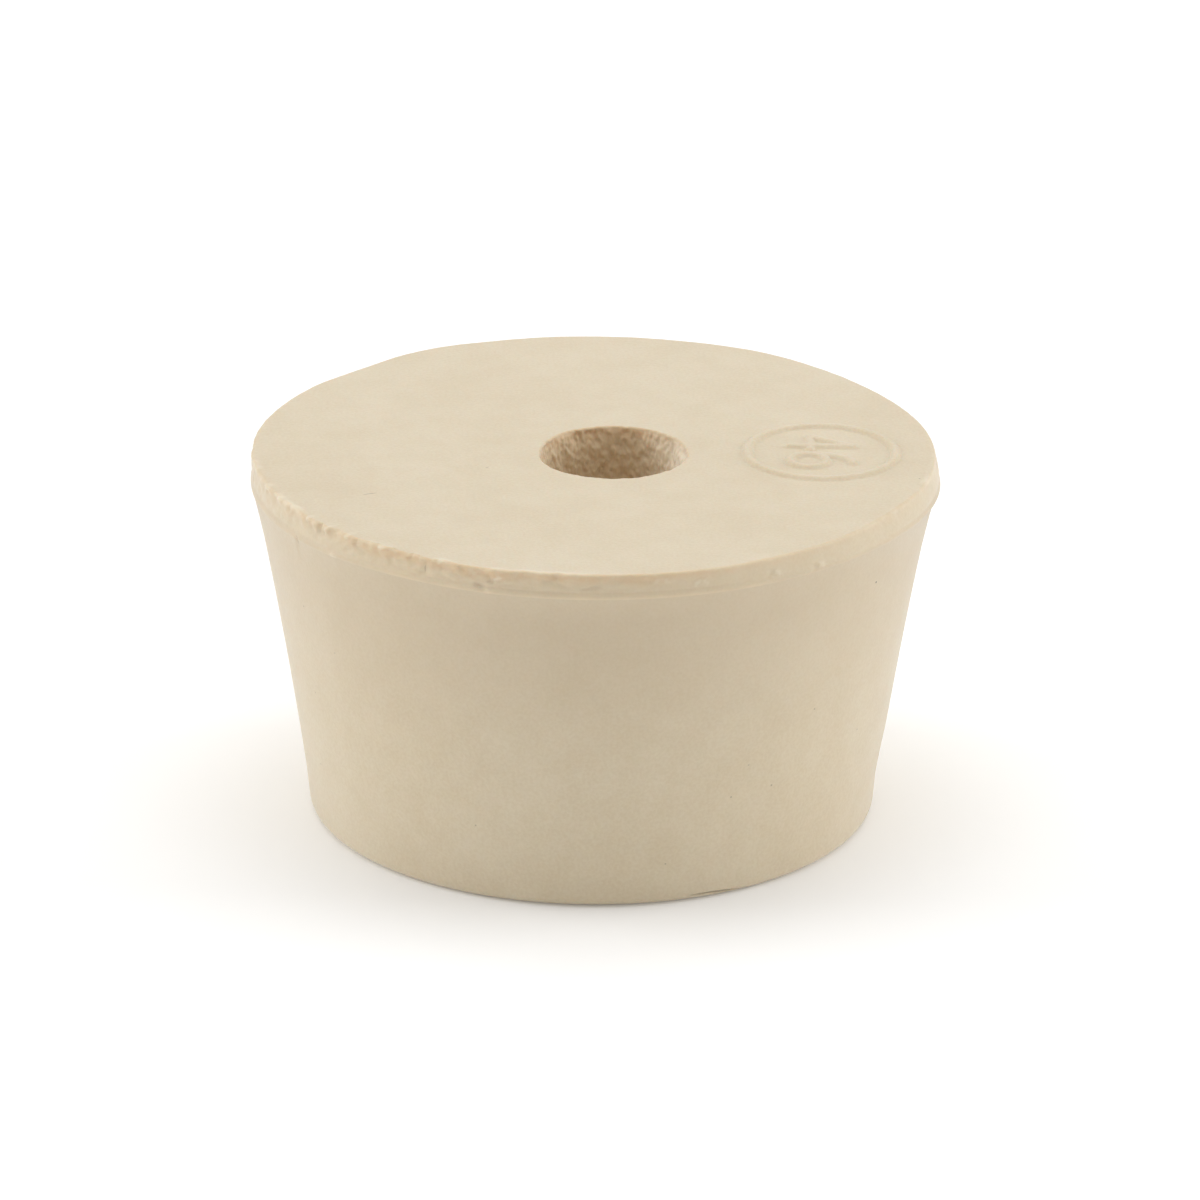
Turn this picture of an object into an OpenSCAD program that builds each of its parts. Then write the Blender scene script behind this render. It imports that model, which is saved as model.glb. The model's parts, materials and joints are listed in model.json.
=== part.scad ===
// Rubber stopper with one hole, moulded in one piece: a tapered plug that seals a round neck.
// It stands on its small end. The origin is at the centre of that face, +Z runs up to the large
// end, and +X runs from the bore towards the raised size mark on the large end.

/* [Body] */
// Largest diameter, measured over the flash at the parting line
large_d = 46; // [42:0.5:56]
// Diameter of the small end, measured to its sharp corner before the edge is rounded
small_d = 38; // [30:0.5:41]
// Length from the small end's face to the large end's face
length = 25; // [20:0.5:40]
// How far the side is hollowed at its middle, from a straight taper
side_sag = 0.2; // [0.1:0.05:0.6]
// Radius of the small end's edge
small_edge_r = 0.8; // [0.3:0.1:2]

/* [Trimmed band] */
// Height of the trimmed band, from the parting line up to the large end's face
band_h = 1.45; // [0.9:0.05:3]
// How far the band draws in from the side at the parting line to the large end's corner
band_draw = 0.3; // [0.1:0.05:0.6]
// Radius of the large end's edge
rim_edge_r = 0.2; // [0.1:0.05:0.5]
// How far the flash stands out from the side at the parting line
flash_out = 0.12; // [0.06:0.02:0.2]
// Radius of the flash's rounded lip
flash_r = 0.25; // [0.22:0.01:0.35]

/* [Bore] */
// Diameter of the bore
bore_d = 9.5; // [4:0.5:14]
// Distance of the bore's axis from the stopper's axis, towards the size mark
bore_x = 1.3; // [-3:0.1:3]
// Distance of the bore's axis from the stopper's axis, across the size mark
bore_y = -0.2; // [-3:0.1:3]
// Width of the broken edge at each mouth of the bore
bore_edge = 0.15; // [0.05:0.05:0.5]

/* [Size mark] */
// Outside diameter of the raised ring that frames the size number
mark_d = 10.8; // [7:0.2:13]
// Width of the ring where it rises from the face
mark_w = 0.8; // [0.5:0.05:1.5]
// Height of the ring above the face
mark_rise = 0.22; // [0.1:0.02:0.24]
// Distance from the ring to the large end's corner
mark_inset = 2; // [0.5:0.1:4]

/* [Hidden] */

// Height of the parting line above the small end
parting_z = length - band_h;
// Radius of the large end's sharp corner
face_r = large_d / 2 - flash_out - band_draw;
// Distance by which a cut runs past the faces that it opens
overrun = 1;
// Steps of the turned shapes, and of the side's long arc, which is a small part of its circle
turn_fn = 180;
edge_fn = 48;
side_fn = 3000;

// Corners of the half section, as [radius, height]
small_corner = [small_d / 2, 0];
parting_corner = [large_d / 2 - flash_out, parting_z];
large_corner = [face_r, length];

// The side's hollow is an arc of side_r through the two corners, with its centre outside the body
side_chord = parting_corner - small_corner;
side_r = (norm(side_chord) ^ 2 / 4 + side_sag ^ 2) / (2 * side_sag);
side_out = [side_chord.y, -side_chord.x] / norm(side_chord);
side_centre = (small_corner + parting_corner) / 2 + (side_r - side_sag) * side_out;

// The small end's edge touches the end face and the side's arc
small_edge_reach = side_r + small_edge_r;
small_edge_drop = side_centre.y - small_edge_r;
small_edge_centre = [
    side_centre.x - sqrt(small_edge_reach ^ 2 - small_edge_drop ^ 2),
    small_edge_r
];
small_edge_start = [small_edge_centre.x, 0];
small_edge_end = small_edge_centre
    + (side_centre - small_edge_centre) * small_edge_r / small_edge_reach;

// The large end's edge touches the band and the end face
band_run = (parting_corner - large_corner) / norm(parting_corner - large_corner);
face_run = [-1, 0];
rim_half_angle = acos(band_run * face_run) / 2;
rim_edge_len = rim_edge_r / tan(rim_half_angle);
rim_edge_start = large_corner + band_run * rim_edge_len;
rim_edge_end = large_corner + face_run * rim_edge_len;
rim_edge_centre = [rim_edge_end.x, length - rim_edge_r];

// The ring is a bead whose round section is sunk in the face
mark_bead_r = ((mark_w / 2) ^ 2 + mark_rise ^ 2) / (2 * mark_rise);
mark_mid_r = (mark_d - mark_w) / 2;
mark_x = face_r - mark_inset - mark_d / 2;

// Half section of the moulded body, from the axis out to the side
module body_section() {
    difference() {
        polygon([
            [0, 0],
            small_edge_start,
            small_edge_end,
            parting_corner,
            rim_edge_start,
            rim_edge_end,
            [0, length]
        ]);
        translate(side_centre) circle(r = side_r, $fn = side_fn);
    }
    translate(small_edge_centre) circle(r = small_edge_r, $fn = edge_fn);
    translate(rim_edge_centre) circle(r = rim_edge_r, $fn = edge_fn);
    translate([large_d / 2 - flash_r, parting_z]) circle(r = flash_r, $fn = edge_fn);
}

// Raised ring on the large end
module size_mark() {
    translate([mark_x, 0, length + mark_rise - mark_bead_r])
        rotate_extrude($fn = turn_fn)
            translate([mark_mid_r, 0]) circle(r = mark_bead_r, $fn = edge_fn);
}

// The drilled hole: a straight bore with a broken edge at each mouth
module bore() {
    mouth_r = bore_d / 2 + bore_edge + overrun;
    translate([bore_x, bore_y, 0])
        rotate_extrude($fn = turn_fn)
            polygon([
                [0, -overrun],
                [mouth_r, -overrun],
                [bore_d / 2, bore_edge],
                [bore_d / 2, length - bore_edge],
                [mouth_r, length + overrun],
                [0, length + overrun]
            ]);
}

module stopper() {
    color("#E1D5BF")
        difference() {
            union() {
                rotate_extrude($fn = turn_fn) body_section();
                size_mark();
            }
            bore();
        }
}

stopper();
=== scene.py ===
"""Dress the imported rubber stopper: one moulded piece with a trimmed rim, a drilled bore and a size mark.

The stopper's mesh is turned ring by ring in edit mode, then worked over by passes, one class each.
Lengths in the classes are millimetres, angles are degrees, and Blender's own units are metres.
"""

import json
import logging
import math
import random
from dataclasses import dataclass, field
from enum import Enum
from functools import cached_property
from typing import Any, Sequence, Union

import bpy
import numpy as np
from mathutils import Matrix, Vector, noise


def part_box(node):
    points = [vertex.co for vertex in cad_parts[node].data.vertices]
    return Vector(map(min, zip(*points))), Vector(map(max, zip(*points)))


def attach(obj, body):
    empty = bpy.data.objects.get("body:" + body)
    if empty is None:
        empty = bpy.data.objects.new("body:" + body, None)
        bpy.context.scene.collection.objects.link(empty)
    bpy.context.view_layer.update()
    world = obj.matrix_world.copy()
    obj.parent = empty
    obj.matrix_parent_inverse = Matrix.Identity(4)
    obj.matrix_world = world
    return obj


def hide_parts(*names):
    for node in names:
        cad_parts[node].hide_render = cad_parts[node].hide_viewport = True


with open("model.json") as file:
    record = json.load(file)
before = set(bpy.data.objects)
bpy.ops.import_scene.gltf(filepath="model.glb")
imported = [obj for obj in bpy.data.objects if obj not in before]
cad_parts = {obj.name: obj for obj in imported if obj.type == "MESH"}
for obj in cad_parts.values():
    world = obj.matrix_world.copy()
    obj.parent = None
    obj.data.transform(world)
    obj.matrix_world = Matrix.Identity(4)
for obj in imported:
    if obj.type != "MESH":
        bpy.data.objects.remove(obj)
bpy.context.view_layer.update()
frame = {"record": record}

MM = 0.001
NODE = "stopper"
BODY = "root"
IMAGE_PX = 1200
QUARTER_TURN = math.pi / 2
WHITE = (1.0, 1.0, 1.0, 1.0)

Span = tuple[float, float]
Point = tuple[float, float, float]
Colour = tuple[int, int, int]

log = logging.getLogger("stopper")


class Zone(Enum):
    """A stretch of the stopper's surface, named as its vertex group."""

    FACE = "large_face"
    MOUTH = "bore_mouth"
    BORE = "bore_wall"
    BASE = "small_face"
    SMALL_EDGE = "small_edge"
    SIDE = "side"
    FLASH = "flash"
    BAND = "trimmed_band"
    RIM = "rim_edge"


TRIMMED = (Zone.BAND, Zone.RIM)
OUTSIDE = (Zone.SIDE, Zone.FLASH, *TRIMMED)


class Layer(Enum):
    """A value kept at each vertex for the finish to read."""

    # the cut rubber's colour on the band, and a painted warm glow at the back of the bore's mouth
    CUT = "cut_rubber"
    DRILLED = "drilled_wall"
    # painted shade in the nicks, the bore's ripples and the crack
    RECESS_SHADE = "bruise"
    # painted highlight along the rim's burr and on raised tags, and painted light on the bore's right wall
    PAINTED_HIGHLIGHT = "pale_edge"
    # painted light: lightens the band and a broken line along the flash
    LIT_BAND = "freshly_trimmed"


def bump(t: np.ndarray) -> np.ndarray:
    """Give a smooth hump: 1 where t is 0, falling to 0 where t is 1 or more either way."""
    return np.clip(1.0 - t * t, 0.0, 1.0) ** 2


def ease(low: float, high: float, x: np.ndarray) -> np.ndarray:
    """Ease from 0 at low to 1 at high, which may be below low, for a fall."""
    t = np.clip((x - low) / (high - low), 0.0, 1.0)
    return t * t * (3.0 - 2.0 * t)


def turn_between(azimuth: np.ndarray, middle: float) -> np.ndarray:
    """Give the signed turn from middle to each azimuth, from -180 to 180 degrees."""
    return (azimuth - middle + 180.0) % 360.0 - 180.0


def round_axis(radius: float, azimuth: float, height: float) -> Point:
    """Give the place at a distance from the stopper's axis, an azimuth and a height."""
    a = math.radians(azimuth)
    return radius * math.cos(a), radius * math.sin(a), height


@dataclass(frozen=True)
class Wave:
    """Smooth noise over a surface: its swing, its wavelength, overall or along each axis, and its seed."""

    swing: float
    length: Union[float, Point]
    seed: float

    def at(self, places: np.ndarray) -> np.ndarray:
        """Give the noise at each place, one row of three coordinates each."""
        scaled = places / np.asarray(self.length) + self.seed
        return self.swing * np.array([noise.noise(Vector(row)) for row in scaled])


def together(waves: Sequence[Wave], places: np.ndarray) -> np.ndarray:
    """Add up some waves at each place."""
    return sum(wave.at(places) for wave in waves)


@dataclass(frozen=True)
class Lobe:
    """A smooth swelling, or a dip if its amount is negative, with its spread to each side of an azimuth."""

    azimuth: float
    spread: float
    amount: float

    def along(self, azimuth: np.ndarray) -> np.ndarray:
        """Give the lobe's amount at each azimuth."""
        return self.amount * bump(turn_between(azimuth, self.azimuth) / self.spread)


@dataclass(frozen=True)
class Lobes:
    """An amount that changes round the stopper: the same level everywhere, and lobes on top of it."""

    level: float
    lobes: tuple[Lobe, ...]

    def along(self, azimuth: np.ndarray) -> np.ndarray:
        """Give the amount at each azimuth."""
        return self.level + sum(lobe.along(azimuth) for lobe in self.lobes)


@dataclass(frozen=True)
class Ring:
    """One ring of the turned body, and how far it is shifted from the stopper's axis to the bore's."""

    radius: float
    height: float
    zone: Zone
    shift: float = 0.0


@dataclass(frozen=True)
class Section:
    """The stopper's half section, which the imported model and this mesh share."""

    large_r: float
    length: float
    bore_r: float
    bore_x: float
    bore_y: float
    small_r: float = 19.0
    side_sag: float = 0.2
    small_edge_r: float = 0.8
    band_h: float = 1.45
    band_draw: float = 0.3
    rim_edge_r: float = 0.2
    flash_out: float = 0.12
    flash_half_h: float = 0.24
    mouth_edge: float = 0.15

    @classmethod
    def from_frame(cls) -> "Section":
        """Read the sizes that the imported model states, from its box and the bore's mount at mid-length.

        Returns:
            The section.
        """
        low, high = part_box(NODE)
        mount = next(m for m in frame["record"]["mounts"] if m["name"] == "bore")
        x, y, z = (value / MM for value in mount["pos_m"])
        return cls(
            large_r=(high.x - low.x) / 2 / MM,
            length=2 * z,
            bore_r=mount["dims"]["r_mm"],
            bore_x=x,
            bore_y=y,
        )

    @property
    def parting_z(self) -> float:
        """Height of the parting line."""
        return self.length - self.band_h

    @property
    def parting_r(self) -> float:
        """Radius of the side at the parting line, under the flash."""
        return self.large_r - self.flash_out

    @property
    def face_r(self) -> float:
        """Radius of the large end's sharp corner."""
        return self.parting_r - self.band_draw

    @property
    def rim_r(self) -> float:
        """Radius of the large end's face, inside its rounded edge."""
        return self.face_r - self.rim_edge_r

    @property
    def rim_z(self) -> float:
        """Height at which the large end's rounded edge starts."""
        return self.length - self.rim_edge_r

    @property
    def mouth_r(self) -> float:
        """Radius of the bore's mouth, outside its broken edge."""
        return self.bore_r + self.mouth_edge

    @property
    def small_face_r(self) -> float:
        """Radius of the small end's face, inside its rounded edge."""
        return self.side_radius(self.small_edge_r) - self.small_edge_r

    def side_radius(self, height: float) -> float:
        """Give the side's radius.

        Args:
            height: height above the small end.

        Returns:
            The radius there, which the hollow draws in most half way up to the parting line.
        """
        t = height / self.parting_z
        hollow = 4.0 * t * (1.0 - t)
        return self.small_r + (self.parting_r - self.small_r) * t - self.side_sag * hollow

    def band_radius(self, height: float) -> float:
        """Give the trimmed band's radius at a height above the small end."""
        return self.parting_r - self.band_draw * (height - self.parting_z) / self.band_h

    def flash_radius(self, rise: float) -> float:
        """Give the radius of the flash's rounded lip.

        Args:
            rise: height above the parting line, or below it if negative.

        Returns:
            The radius there.
        """
        height = self.parting_z + rise
        under = self.band_radius(height) if rise > 0 else self.side_radius(height)
        return under + self.flash_out * (1.0 - (rise / self.flash_half_h) ** 2)


@dataclass(frozen=True)
class RingCounts:
    """How many rings each stretch of the section gets, and how many steps each ring has."""

    around: int = 720
    face: int = 18
    mouth: int = 3
    bore_fine: int = 32
    bore_fine_depth: float = 4.2
    bore_rest: int = 17
    bore_crowding: float = 0.6
    base: int = 3
    small_edge: int = 6
    side: int = 12
    flash: int = 5
    band: int = 11
    rim: int = 5

    def rings(self, section: Section) -> list[Ring]:
        """List the rings in order round the section, from the large end's corner in and back out to it.

        Args:
            section: the sizes to follow.

        Returns:
            The rings, the last of which is joined to the first.
        """
        return [
            *self.face_rings(section),
            *self.bore_rings(section),
            *self.small_end_rings(section),
            *self.outer_rings(section),
        ]

    def face_rings(self, s: Section) -> list[Ring]:
        """List the large end's rings, which slide from the stopper's axis to the bore's.

        Args:
            s: the sizes to follow.

        Returns:
            The rings, from the rim in, crowded at both edges.
        """
        rows = []
        for u in np.linspace(0, 1, self.face):
            t = u * u / (u * u + (1 - u) ** 2)
            rows.append(Ring(s.rim_r + (s.mouth_r - s.rim_r) * t, s.length, Zone.FACE, t))
        return rows

    def bore_rings(self, s: Section) -> list[Ring]:
        """List the bore's rings, which lie closest where its wall is seen.

        Args:
            s: the sizes to follow.

        Returns:
            The rings, from the upper mouth down to the lower one.
        """
        rows = []
        for a in np.linspace(0, QUARTER_TURN, self.mouth + 1)[1:]:
            drop = s.mouth_edge * (1 - math.cos(a))
            rows.append(Ring(s.mouth_r - s.mouth_edge * math.sin(a), s.length - drop, Zone.MOUTH, 1))
        wall_top = s.length - s.mouth_edge
        fine_end = wall_top - self.bore_fine_depth
        for z in np.linspace(wall_top, fine_end, self.bore_fine + 1)[1:]:
            rows.append(Ring(s.bore_r, z, Zone.BORE, 1))
        for t in np.linspace(0, 1, self.bore_rest + 1)[1:-1]:
            z = fine_end + (s.mouth_edge - fine_end) * t**self.bore_crowding
            rows.append(Ring(s.bore_r, z, Zone.BORE, 1))
        for a in np.linspace(0, QUARTER_TURN, self.mouth + 1):
            out = s.mouth_edge * (1 - math.cos(a))
            rows.append(Ring(s.bore_r + out, s.mouth_edge * (1 - math.sin(a)), Zone.MOUTH, 1))
        return rows

    def small_end_rings(self, s: Section) -> list[Ring]:
        """List the rings of the small end's face and rounded edge.

        Args:
            s: the sizes to follow.

        Returns:
            The rings, from the bore out.
        """
        rows = []
        for t in np.linspace(0, 1, self.base + 1)[1:]:
            rows.append(Ring(s.mouth_r + (s.small_face_r - s.mouth_r) * t, 0, Zone.BASE, 1 - t))
        for a in np.linspace(0, QUARTER_TURN, self.small_edge + 1)[1:]:
            r = s.small_face_r + s.small_edge_r * math.sin(a)
            rows.append(Ring(r, s.small_edge_r * (1 - math.cos(a)), Zone.SMALL_EDGE))
        return rows

    def outer_rings(self, s: Section) -> list[Ring]:
        """List the rings of the side, the flash, the trimmed band and the large end's rounded edge.

        Args:
            s: the sizes to follow.

        Returns:
            The rings, from the small end up.
        """
        rows = []
        for z in np.linspace(s.small_edge_r, s.parting_z - s.flash_half_h, self.side + 1)[1:]:
            rows.append(Ring(s.side_radius(z), z, Zone.SIDE))
        for rise in np.linspace(-s.flash_half_h, s.flash_half_h, self.flash + 1)[1:]:
            rows.append(Ring(s.flash_radius(rise), s.parting_z + rise, Zone.FLASH))
        for z in np.linspace(s.parting_z + s.flash_half_h, s.rim_z, self.band + 1)[1:]:
            rows.append(Ring(s.band_radius(z), z, Zone.BAND))
        for a in np.linspace(0, QUARTER_TURN, self.rim + 1)[1:-1]:
            r = s.rim_r + (s.band_radius(s.rim_z) - s.rim_r) * math.cos(a)
            rows.append(Ring(r, s.rim_z + s.rim_edge_r * math.sin(a), Zone.RIM))
        return rows


class Skin:
    """The stopper's vertices in millimetres, for passes that shape them by hand."""

    def __init__(self, piece: bpy.types.Object) -> None:
        """Read the piece's vertices and the zone that each was made in.

        Args:
            piece: the stopper, in object mode.
        """
        self.mesh: bpy.types.Mesh = piece.data
        count = len(self.mesh.vertices)
        flat = np.empty(count * 3, np.float32)
        self.mesh.vertices.foreach_get("co", flat)
        self.start = flat.reshape(-1, 3).astype(float) / MM
        self.at = self.start.copy()
        self.group_of = {zone: piece.vertex_groups[zone.value].index for zone in Zone}
        self.groups = np.array([vertex.groups[0].group for vertex in self.mesh.vertices])
        self.layers = {layer: np.zeros(count) for layer in Layer}

    def within(self, *zones: Zone) -> np.ndarray:
        """Give the vertices of some zones, as a mask."""
        return np.isin(self.groups, [self.group_of[zone] for zone in zones])

    def about(self, x: float, y: float) -> tuple[np.ndarray, np.ndarray]:
        """Give each vertex's azimuth about an upright axis and distance from it, before any pass."""
        across = self.start[:, :2] - (x, y)
        return np.degrees(np.arctan2(across[:, 1], across[:, 0])), np.hypot(across[:, 0], across[:, 1])

    @property
    def azimuth(self) -> np.ndarray:
        """Each vertex's azimuth about the stopper's axis, before any pass moved it."""
        return self.about(0.0, 0.0)[0]

    @property
    def radius(self) -> np.ndarray:
        """Each vertex's distance from the stopper's axis, before any pass moved it."""
        return self.about(0.0, 0.0)[1]

    @property
    def height(self) -> np.ndarray:
        """Each vertex's height above the small end, before any pass moved it."""
        return self.start[:, 2]

    def push_out(self, amount: np.ndarray, x: float = 0.0, y: float = 0.0) -> None:
        """Move each vertex away from an upright axis.

        Args:
            amount: how far each vertex moves.
            x: the axis's place, which is the stopper's own if it isn't given.
            y: the same, across.
        """
        across = self.at[:, :2] - (x, y)
        reach = np.hypot(across[:, 0], across[:, 1])
        self.at[:, :2] += across * (amount / reach)[:, None]

    def lift(self, amount: np.ndarray) -> None:
        """Raise each vertex by its amount."""
        self.at[:, 2] += amount

    def tint(self, layer: Layer, where: np.ndarray, amount: Union[float, np.ndarray]) -> None:
        """Add an amount to a layer where a mask holds."""
        self.layers[layer] += np.where(where, amount, 0.0)

    def write(self) -> None:
        """Put the shaped vertices and their layers back into the mesh."""
        self.mesh.vertices.foreach_set("co", (self.at * MM).astype(np.float32).ravel())
        for layer, values in self.layers.items():
            attribute = self.mesh.attributes.new(layer.value, "FLOAT", "POINT")
            attribute.data.foreach_set("value", values.astype(np.float32))
        self.mesh.update()


@dataclass(frozen=True)
class Nick:
    """A bite out of the band or rim, or a raised tag if its depth is negative.

    Its drop is measured down from the large end's face. The steeper it is, the wider its flat floor.
    """

    azimuth: float
    drop: float
    length: float
    width: float
    depth: float
    slant: float = 0.0
    steepness: float = 1.7

    def depth_at(self, azimuth: np.ndarray, drop: np.ndarray, radius: float) -> np.ndarray:
        """Give the bite's depth at each place on the band.

        Args:
            azimuth: each place's azimuth.
            drop: how far each place is below the large end's face.
            radius: the band's radius, which turns azimuth into a distance.

        Returns:
            The depth at each place.
        """
        run = np.radians(turn_between(azimuth, self.azimuth)) * radius
        rise = self.drop - drop
        cos = math.cos(math.radians(self.slant))
        sin = math.sin(math.radians(self.slant))
        u = (run * cos + rise * sin) / (self.length / 2)
        v = (rise * cos - run * sin) / (self.width / 2)
        return self.depth * np.clip(self.steepness * (1.0 - u * u - v * v), 0.0, 1.0)


@dataclass(frozen=True)
class ChanceNicks:
    """The nicks of the back half, placed by chance, of the same kind as those in front."""

    count: int = 34
    seed: int = 7
    azimuth: Span = (-5, 190)
    clear_of_line: float = 0.1
    clear_of_face: float = 0.5
    length: Span = (0.4, 1.4)
    width: Span = (0.3, 0.8)
    depths: tuple[float, ...] = (0.2, 0.16, 0.12, -0.08)
    slant: Span = (-45, 45)

    def make(self, band_h: float) -> list[Nick]:
        """Make the nicks, which come out the same each time.

        Args:
            band_h: height of the band that they lie on.

        Returns:
            The nicks.
        """
        pick = random.Random(self.seed)
        made = []
        for _ in range(self.count):
            nick = Nick(
                azimuth=pick.uniform(*self.azimuth),
                drop=pick.uniform(band_h - self.clear_of_line, self.clear_of_face),
                length=pick.uniform(*self.length),
                width=pick.uniform(*self.width),
                depth=pick.choice(self.depths),
                slant=pick.uniform(*self.slant),
            )
            made.append(nick)
        return made


@dataclass
class TrimmedBand:
    """The band round the large end, cut by hand where the flash was trimmed off."""

    section: Section
    swell: Lobes = Lobes(
        0.0,
        (
            Lobe(-95, 45, 0.25),
            Lobe(-30, 20, -0.2),
            Lobe(-166, 12, -0.15),
            Lobe(180, 40, 0.3),
            Lobe(2, 36, 0.25),
            Lobe(120, 12, 0.22),
            Lobe(137, 11, -0.2),
            Lobe(60, 16, 0.22),
        ),
    )
    swell_power: float = 1.5
    swell_in: float = 3.0
    belly: Lobe = Lobe(-2, 38, 0.22)
    belly_middle: float = 0.35
    belly_reach: float = 0.6
    ledge: Lobe = Lobe(-108, 60, 0.07)
    ledge_reach: float = 1.6
    wander: Lobes = Lobes(0.0, (Lobe(0, 40, -0.5), Lobe(180, 60, -0.45), Lobe(90, 30, 0.1)))
    wander_down: float = 4.0
    flash: Lobes = Lobes(0.5, (Lobe(0, 40, 0.9), Lobe(95, 70, 0.6)))
    ragged: tuple[Wave, ...] = (Wave(0.16, 1.9, 3.1), Wave(0.15, 0.6, 8.7))
    ragged_where: Lobes = Lobes(0.08, (Lobe(-130, 75, 0.8),))
    tear: tuple[Wave, ...] = (Wave(0.1, (0.65, 0.65, 0.35), 5.3), Wave(0.05, 0.35, 1.9))
    tear_where: Lobes = Lobes(0.15, (Lobe(-130, 75, 0.8),))
    tear_from: Span = (0.15, 0.4)
    burr: tuple[Wave, ...] = (Wave(1.0, 2.6, 6.4), Wave(0.7, 0.7, 3.3))
    burr_level: float = 0.25
    lip: float = 0.12
    lip_where: Lobes = Lobes(0.15, (Lobe(-125, 95, 0.85),))
    lip_in: float = 0.6
    nicks: tuple[Nick, ...] = (
        Nick(-162.0, 0.1, 0.9, 0.35, -0.25),
        Nick(-158.0, 0.4, 0.6, 0.5, 0.16),
        Nick(-155.8, 0.1, 0.7, 0.35, -0.28, 10),
        Nick(-151.8, 0.2, 0.35, 0.5, 0.24),
        Nick(-148.0, 1.8, 0.4, 0.9, 0.45, 20),
        Nick(-145.7, 0.1, 0.6, 0.35, -0.26, -10),
        Nick(-144.4, 0.5, 0.7, 0.4, 0.14, 10),
        Nick(-142.0, 0.3, 0.4, 0.7, 0.4, 15),
        Nick(-140.6, 0.4, 0.7, 0.8, 0.2, 30),
        Nick(-140.1, 0.2, 0.45, 0.5, -0.32),
        Nick(-137.6, 1.55, 0.8, 0.45, -0.14, -15),
        Nick(-135.2, 0.1, 0.4, 0.3, -0.2),
        Nick(-133.0, 0.3, 0.35, 0.5, 0.26, -10),
        Nick(-132.0, 0.55, 0.7, 0.45, 0.12),
        Nick(-127.6, 0.1, 0.7, 0.25, -0.16),
        Nick(-122.0, 0.1, 0.4, 0.3, -0.2),
        Nick(-121.7, 0.1, 2.2, 0.7, 0.16),
        Nick(-118.2, 0.5, 0.6, 1.0, 0.14, -12),
        Nick(-115.9, 0.1, 0.45, 0.3, -0.22),
        Nick(-108.6, 1.2, 1.0, 0.3, 0.26, -25),
        Nick(-107.0, 1.45, 0.45, 0.3, -0.22),
        Nick(-106.9, 0.65, 0.45, 0.8, 0.22, 35),
        Nick(-105.4, 0.5, 0.8, 0.28, -0.2, 25),
        Nick(-96.0, 0.15, 0.8, 0.45, 0.14),
        Nick(-90.1, 0.85, 1.6, 0.35, 0.16, 8),
        Nick(-79.5, 0.5, 0.6, 0.3, -0.08, 40),
        Nick(-78.0, 0.5, 0.6, 0.3, -0.08, -40),
        Nick(-72.9, 0.85, 0.7, 0.3, -0.1, 45),
        Nick(-71.4, 0.8, 0.7, 0.3, -0.1, -45),
        Nick(-59.8, 1.0, 0.7, 0.35, 0.12, 50),
        Nick(-58.2, 1.0, 0.6, 0.3, -0.1, -45),
        Nick(-50.8, 1.3, 0.7, 0.4, 0.12, 40),
        Nick(-49.2, 1.2, 0.6, 0.35, -0.1, -35),
    )
    chance: ChanceNicks = ChanceNicks()
    nick_share: float = 0.42
    nick_in: float = 0.8
    # painted shade in the bites
    bruise: float = 0.12
    recess_shade_depth: float = 0.2
    # painted highlight on the raised tags
    tag_highlight: float = 0.5
    tag_height: float = 0.04
    cut_where: Lobes = Lobes(0.15, (Lobe(-110, 60, 0.65),))
    cut_edge: Wave = Wave(0.3, 2.4, 2.2)
    cut_from: Span = (0.46, 0.8)
    # painted highlight along the burr, where the rim's lip catches the light
    highlight_where: Lobes = Lobes(0.0, (Lobe(-150, 55, 0.7), Lobe(-15, 35, 0.6), Lobe(-100, 35, 0.5)))
    highlight_gain: float = 1.6
    highlight_loss: float = 0.2
    highlight_in: float = 0.45
    highlight_drop: Span = (0.22, 0.08)
    # painted light on the band, strongest at front and back, and a broken light line along the flash
    band_light_where: Lobes = Lobes(0.1, (Lobe(-97, 75, 0.43), Lobe(83, 75, 0.3)))
    band_light_line: float = 0.8
    band_light_breaks: Wave = Wave(0.7, 2.2, 4.9)

    def shape(self, skin: Skin) -> None:
        """Trim the band: swell and rag its edge, let the parting line wander, and bite the nicks out.

        Args:
            skin: the stopper's vertices.
        """
        self.swell_edge(skin)
        self.wander_line(skin)
        burr = self.raise_lip(skin)
        bite = self.bite_nicks(skin)
        self.tint_edge(skin, burr)
        self.tint_nicks(skin, bite)

    def share_up(self, skin: Skin) -> np.ndarray:
        """Give how far up the band each vertex is, which fades out again across the large end's face.

        Args:
            skin: the stopper's vertices.

        Returns:
            The share of the way, from 0 at the parting line to 1 at the rim.
        """
        s = self.section
        climb = np.clip((skin.height - s.parting_z) / s.band_h, 0.0, 1.0)
        across = ease(s.face_r - self.swell_in, s.face_r, skin.radius)
        return np.where(skin.within(*OUTSIDE), climb, np.where(skin.within(Zone.FACE), across, 0.0))

    def on_edge(self, skin: Skin) -> np.ndarray:
        """Give the place on the large end's corner that is nearest to each vertex."""
        a = np.radians(skin.azimuth)
        return self.section.face_r * np.stack([np.cos(a), np.sin(a), np.zeros_like(a)], 1)

    def near_rim(self, skin: Skin, width: float) -> np.ndarray:
        """Give a share that rises to 1 at the rim, over a width measured in from the large end's corner."""
        return ease(self.section.face_r - width, self.section.rim_r, skin.radius)

    def swell_edge(self, skin: Skin) -> None:
        """Swell the band out towards the rim, and rag and tear it where the knife dragged.

        Args:
            skin: the stopper's vertices.
        """
        azimuth = skin.azimuth
        up = self.share_up(skin)
        ragged = together(self.ragged, self.on_edge(skin)) * self.ragged_where.along(azimuth)
        skin.push_out((self.swell.along(azimuth) + ragged) * up**self.swell_power)

        belly = self.belly.along(azimuth) * bump((up - self.belly_middle) / self.belly_reach) * (up > 0)
        ledge = self.ledge.along(azimuth) * bump((skin.height - self.section.parting_z) / self.ledge_reach)
        skin.push_out(np.where(skin.within(*OUTSIDE), belly + ledge, 0.0))

        tear = together(self.tear, skin.start) * self.tear_where.along(azimuth) * ease(*self.tear_from, up)
        skin.push_out(np.where(skin.within(*TRIMMED), tear, 0.0))

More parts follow.
